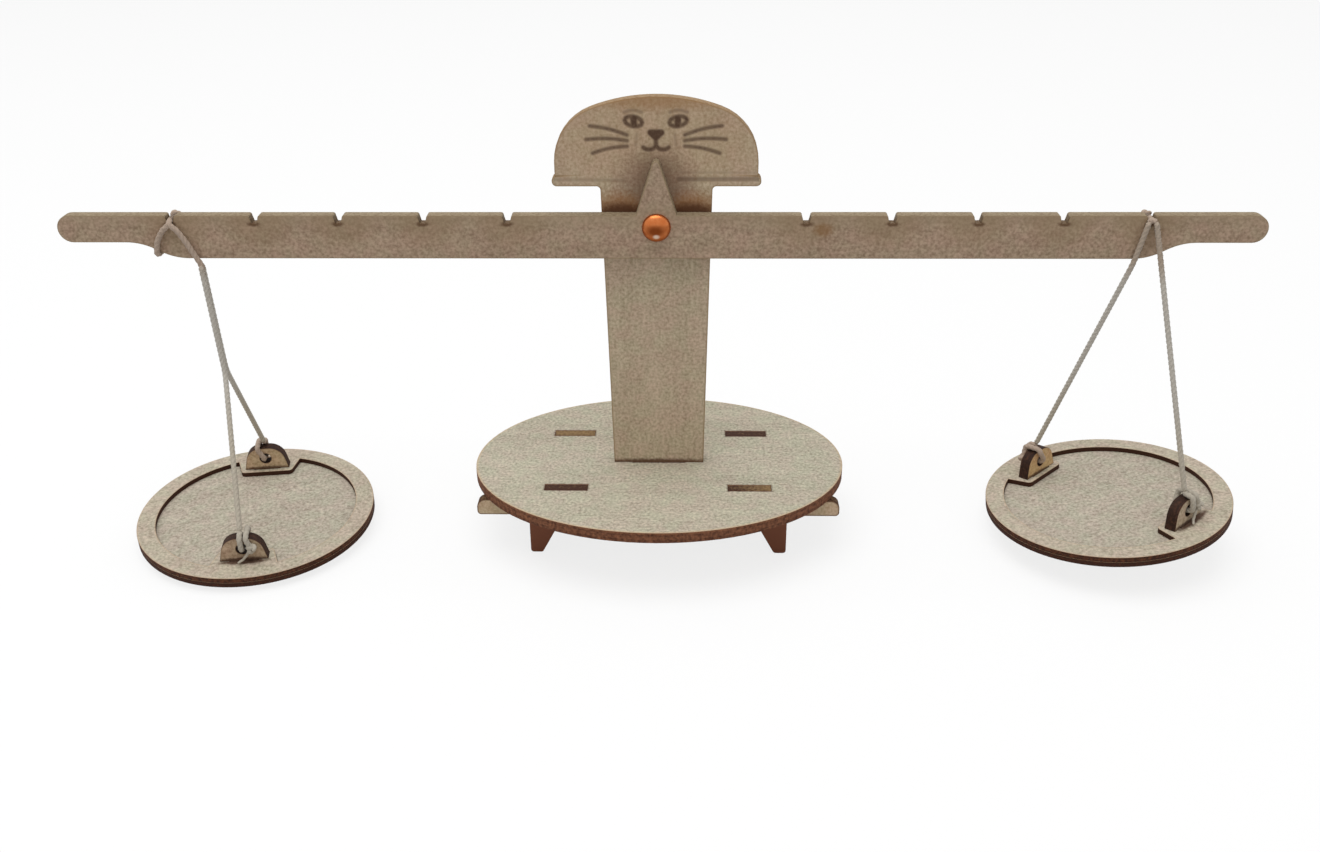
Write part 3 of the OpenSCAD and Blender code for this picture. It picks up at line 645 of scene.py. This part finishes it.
# Copper plate on steel: to the eye a red-gold mirror, pale where it shows the room, with a painted dark
# reflection across its middle and a painted highlight below it.
# Its dents are about a millimetre wide, 900 to the metre, and too shallow to break its outline.
copper, tree = material("coppered_steel")
place = add(tree, "TexCoord")
grit = add(tree, "TexNoise", {"Vector": place.outputs["Object"], "Scale": DENTS, "Detail": 2})
tone = add(tree, "MixRGB", {0: grit.outputs["Fac"], 1: linear("#b8602f"), 2: linear("#d2824f")})
for centre, radii, tint, strength in PAINTED_REFLECTIONS:
    away = add(tree, "Mapping", {"Vector": place.outputs["Object"], "Location": centre, "Scale": radii},
               vector_type="TEXTURE")
    away = add(tree, "VectorMath", {0: away.outputs[0]}, operation="LENGTH")
    near = add(tree, "MapRange",
               {"Value": away.outputs["Value"], "From Min": 1.4, "From Max": 0.4, "To Max": strength},
               interpolation_type="SMOOTHSTEP")
    tone = add(tree, "MixRGB", {0: near.outputs[0], 1: tone.outputs[0], 2: linear(tint)})
dents = add(tree, "Bump", {"Height": grit.outputs["Fac"], "Strength": 0.15, "Distance": 0.0001})
skin = add(tree, "BsdfPrincipled",
           {"Base Color": tone.outputs[0], "Metallic": 1, "Roughness": 0.3, "Normal": dents.outputs[0]})
add(tree, "OutputMaterial", {"Surface": skin.outputs[0]})

made = bmesh.new()
turns = [math.pi / 2 * i / 10 for i in range(1, 10)]
profile = [(0, DOME_BACK - DOME_HIGH)]
profile += [(DOME_R * math.sin(a), DOME_BACK - DOME_HIGH * math.cos(a) ** 0.8) for a in turns]
profile += [(DOME_R, DOME_BACK - 0.0002), (DOME_R - 0.0001, DOME_BACK), (SHANK_R, DOME_BACK)]
profile += [(SHANK_R, PRONG_FRONT + PRONG_THICK), (0, PRONG_FRONT + PRONG_THICK)]
line = [made.verts.new((x, y, PIVOT_Z)) for x, y in profile]
rings = [made.edges.new(pair) for pair in zip(line, line[1:])]
bmesh.ops.spin(made, geom=line + rings, cent=(0, 0, PIVOT_Z), axis=(0, 1, 0), angle=math.tau, steps=48,
               use_merge=True)
bmesh.ops.remove_doubles(made, verts=made.verts, dist=DOUBLES)
for way in (-1, 1):
    prong = bmesh.ops.create_cube(made, size=1)["verts"]
    middle = Matrix.Translation((way * PRONG_LONG / 2, PRONG_FRONT + PRONG_THICK / 2, PIVOT_Z))
    sizes = Matrix.Diagonal((PRONG_LONG, PRONG_THICK, PRONG_WIDE, 1))
    bmesh.ops.transform(made, verts=prong, matrix=middle @ sizes)
    tip = [e for v in prong for e in v.link_edges if all(abs(u.co.x) > PRONG_LONG * 0.9 for u in e.verts) and
           abs(e.verts[0].co.z - e.verts[1].co.z) < HAIR]
    bmesh.ops.bevel(made, geom=list(set(tip)), offset=PRONG_WIDE * 0.45, offset_type="OFFSET", segments=6,
                    profile=0.5, affect="EDGES", material=-1, clamp_overlap=True)
bmesh.ops.recalc_face_normals(made, faces=made.faces)
pin = bpy.data.meshes.new("split_pin")
made.to_mesh(pin)
made.free()
pin.shade_smooth()
pin.set_sharp_from_angle(angle=math.radians(35))
finish_piece("split_pin", pin, "stand", "brass", copper, "pivot_fastener")

# The strings are tied to the beam through its last notches, with an overhand knot behind each.
# At the left they cross the beam's front on both sides of the notch, to the pan and round the handle.
# The charred notches have soiled them, so to the eye this cotton is darker and redder than the free lengths.
soiled_cotton = laid_cotton("soiled_cotton", "#9c8878", "#c8b4a2")
KNOT_Y, KNOT_STRING = -0.0001, 0.0011
WRAP_X, WRAP_Z = -0.1256, 0.08035
STRING_BACK = BEAM_BACK + BEND


def knot(middle, across, out, up):
    """An overhand knot's curve, 3 mm across, round a middle. Across, out and up are its own directions."""
    spots = []
    for i in range(61):
        t = math.tau * (0.06 + 0.88 * i / 60)
        spots.append(middle + 0.0003 * (math.sin(t) + 2 * math.sin(2 * t)) * across
                     + 0.00045 * math.sin(3 * t) * out
                     + 0.0003 * (math.cos(t) - 2 * math.cos(2 * t)) * up)
    return spots


for side, x in (("left", -NOTCH_X), ("right", NOTCH_X)):
    behind = Vector((x, KNOT_Y, NOTCH_Z))
    runs = {"knot": knot(behind, Vector((1, 0, 0)), Vector((0, 1, 0)), Vector((0, 0, 1)))}
    if side == "left":
        through = [behind, Vector((x, BEAM_FRONT, NOTCH_Z)), Vector((x, STRING_Y, NOTCH_Z - STRING / 2))]
        # Each leaves the notch over two points, given by how far they are to its right and below it.
        ways = {
            "to_pan": ((0.0017, 0.0014), (0.0036, 0.0046)),
            "round_beam": ((-0.0019, 0.0015), (-0.0036, 0.0042)),
        }
        for run, steps in ways.items():
            runs[run] = through + [through[-1] + Vector((right, 0, -low)) for right, low in steps]
        runs["to_pan"] += [
            Vector((LEFT_EXIT_X, STRING_Y, BEAM_BOTTOM - 0.0013)),
            Vector((LEFT_EXIT_X + 0.0001, STRING_Y, BEAM_BOTTOM - 0.0026)),
        ]
        runs["round_beam"] += [
            Vector((WRAP_X, STRING_Y, WRAP_Z + STRING / 2)),
            Vector((WRAP_X, BEAM_FRONT, WRAP_Z)),
            Vector((WRAP_X, BEAM_BACK, WRAP_Z)),
            Vector((WRAP_X, STRING_BACK, WRAP_Z + STRING / 2)),
            Vector((x, STRING_BACK, NOTCH_Z - STRING / 2)),
        ]
    else:
        for end, way in (("back", -1), ("front", 1)):
            runs[f"{end}_end"] = [behind, Vector((x, BEAM_FRONT, NOTCH_Z + 0.0001)),
                                  Vector((x + way * BESIDE_NOTCH, STRING_Y, NOTCH_Z))]
    for run, route in runs.items():
        name = f"{side}_tie_{run}"
        if run == "knot":
            mesh = yarn(name, route, KNOT_STRING)
            finish_piece(name, mesh, "beam", "string", soiled_cotton, f"{side}_beam_tie")
        else:
            mesh = yarn(name, eased(spaced(route, 0.0004), 4))
            finish_piece(name, mesh, "beam", "string", soiled_cotton)

# A pan is a disc of 1.4 mm plywood with a ring glued on it. Tabs of the ring hold the two lugs in slots.
# Their cut edges are charred nearly black. Where a lug stands in the pan a dark line is char with painted
# shade: low on each lug, and on the ring outside the front lug.
PAN_PLY, RING_MIDDLE = 0.0014, 0.0285
LUG_SLOT_HALF, LUG_SLOT_REACH = 0.004, 0.0019
FOOT_CHAR_AND_SHADE, FOOT_CHAR_AND_SHADE_STRENGTH, FOOT_CHAR_AND_SHADE_SOFT = "#4a2c1c", 0.9, 0.4
# How long the ring's dark line of char and painted shade is on each pan, and how far it lies to one side.
RING_CHAR_AND_SHADE = {"left": (0.0062, 0), "right": (0.0065, 0.0015)}
LUG_TONES = {
    ("left", "back"): ("#a88a6c", "#e2c8a6"),
    ("left", "front"): ("#987e66", "#d2ba9e"),
    ("right", "back"): ("#ba9468", "#e6c698"),
    ("right", "front"): ("#a8947c", "#d6c4ac"),
}
disc_wood = plywood("disc_plywood", (0, 0, 0.5), "#948a7b", "#d2c9b8", "#7a4026", "#3a1e0f", "#c8b08c")
for side, place in pan_place.items():
    up = place.to_3x3() @ Vector((0, 0, 1))

    def by_lug(spot):
        """Soot at a lug's slot, and toast at the ring's rim."""
        flat = place.inverted() @ spot
        for end in ("back", "front"):
            turn = lug_turn[side, end]
            along = flat.x * math.cos(turn) + flat.y * math.sin(turn)
            across = flat.y * math.cos(turn) - flat.x * math.sin(turn)
            if abs(along - LUG_MID) < LUG_SLOT_REACH and abs(across) < LUG_SLOT_HALF:
                return -1.2
        return 0.4

    def ring_char(spot):
        """The ring's inner edge and its slots are charred more than its outer edge."""
        return 1.15 if (place.inverted() @ spot).to_2d().length < RING_MIDDLE else 0.8

    long, shift = RING_CHAR_AND_SHADE[side]
    # Char with painted shade on the ring, along the front lug's outer foot.
    ring_char_and_shade = stain(at_lug(side, "front", LUG_OUT + 0.0006, PAN_PLY, shift), (long, 0.0011, 0.003), FOOT_CHAR_AND_SHADE,
                     FOOT_CHAR_AND_SHADE_STRENGTH, FOOT_CHAR_AND_SHADE_SOFT, lug_turn[side, "front"] + math.pi / 2)
    ring_wood = plywood(f"{side}_ring_plywood", (0, 0, -0.4), "#998e7d", "#d5c9b6", "#8a5232", "#3a1e0f",
                        "#c2a686", [ring_char_and_shade])
    board(f"{side}_pan_disc", up, disc_wood, f"{side}_pan", 1, "thin_plywood")
    board(f"{side}_pan_ring", up, ring_wood, f"{side}_pan", ring_char, "thin_plywood", scorch=by_lug)
    for end in ("back", "front"):
        turn = lug_turn[side, end]
        out = place.to_3x3() @ Vector((math.cos(turn), math.sin(turn), 0))
        # Char with painted shade low on the lug, where it stands in the pan.
        lug_char_and_shade = stain(at_lug(side, end, LUG_MID, PAN_PLY), (0.0075, 0.0075, 0.0008), FOOT_CHAR_AND_SHADE, 0.85, FOOT_CHAR_AND_SHADE_SOFT)
        lug_wood = plywood(f"{side}_{end}_lug_plywood", (0, 0, 0), *LUG_TONES[side, end], "#5a3826",
                           "#2a160b", "#6e5038", [lug_char_and_shade])
        board(f"{side}_{end}_lug", out, lug_wood, f"{side}_pan", 0.85, band=0.0003)

# At each lug the string bends over the top, runs down the outer face and comes back through the hole.
# It goes up the inner face and over the top again, and ends on the outer face in a knot with a short tail.
# Hands have greyed it at the front lugs. At the back ones it is as brown as at the beam.
lug_cotton = {"back": soiled_cotton, "front": laid_cotton("handled_cotton", "#9f9687", "#cbc3b4")}
LUG_IN, BESIDE, KNOT_BESIDE, KNOT_UP = 0.0208, 0.0016, 0.0026, 0.0056
END_KNOT_STRING, TAIL_STRING, TAIL_TIP = 0.0013, 0.001, 0.6
quarter = [(BEND * math.sin(math.radians(a)), BEND * math.cos(math.radians(a))) for a in range(0, 91, 15)]
for (side, end), slant in lug_slants.items():
    body, skin = f"{side}_pan", lug_cotton[end]
    route = [over_lug(side, end, slant + (math.pi / 2 - slant) * i / 6) for i in range(7)]
    route += [at_lug(side, end, LUG_OUT + s, LUG_HIGH + c) for s, c in quarter]
    route += [at_lug(side, end, LUG_OUT + c, LUG_HOLE_UP + BEND - s) for s, c in quarter]
    route += [at_lug(side, end, LUG_IN - s, LUG_HOLE_UP + BEND - c, BESIDE * 0.2) for s, c in quarter]
    route += [at_lug(side, end, LUG_IN - c, LUG_HIGH + s, BESIDE) for s, c in quarter]
    route += [at_lug(side, end, LUG_OUT + s, LUG_HIGH + c, BESIDE) for s, c in quarter]
    knot_at = at_lug(side, end, LUG_OUT + BEND, KNOT_UP, KNOT_BESIDE)
    loop = f"{side}_{end}_lug_loop"
    finish_piece(loop, yarn(loop, eased(spaced(route + [knot_at], 0.0003), 3)), body, "string", skin,
                 f"{side}_{end}_knot")
    wide = (at_lug(side, end, LUG_OUT + BEND, KNOT_UP, KNOT_BESIDE + 0.001) - knot_at).normalized()
    out = (at_lug(side, end, LUG_OUT + 2 * BEND, KNOT_UP, KNOT_BESIDE) - knot_at).normalized()
    up = (at_lug(side, end, LUG_OUT + BEND, KNOT_UP + 0.001, KNOT_BESIDE) - knot_at).normalized()
    end_knot = f"{side}_{end}_lug_end_knot"
    mesh = yarn(end_knot, knot(knot_at, wide, out, up), END_KNOT_STRING)
    finish_piece(end_knot, mesh, body, "string", skin)
    # The tail hangs from the knot: how far out, how high and how far beside the lug's middle its points are.
    hang = (
        (LUG_OUT + BEND, 0.004, 0.0014),
        (LUG_OUT + 0.0013, 0.0024, 0.0001),
        (LUG_OUT + 0.0022, 0.0021, -0.0012),
    )
    tail = f"{side}_{end}_lug_tail"
    tail_route = [knot_at] + [at_lug(side, end, *spot) for spot in hang]
    mesh = yarn(tail, eased(spaced(tail_route, 0.0003), 6), TAIL_STRING, TAIL_TIP)
    finish_piece(tail, mesh, body, "string", skin)
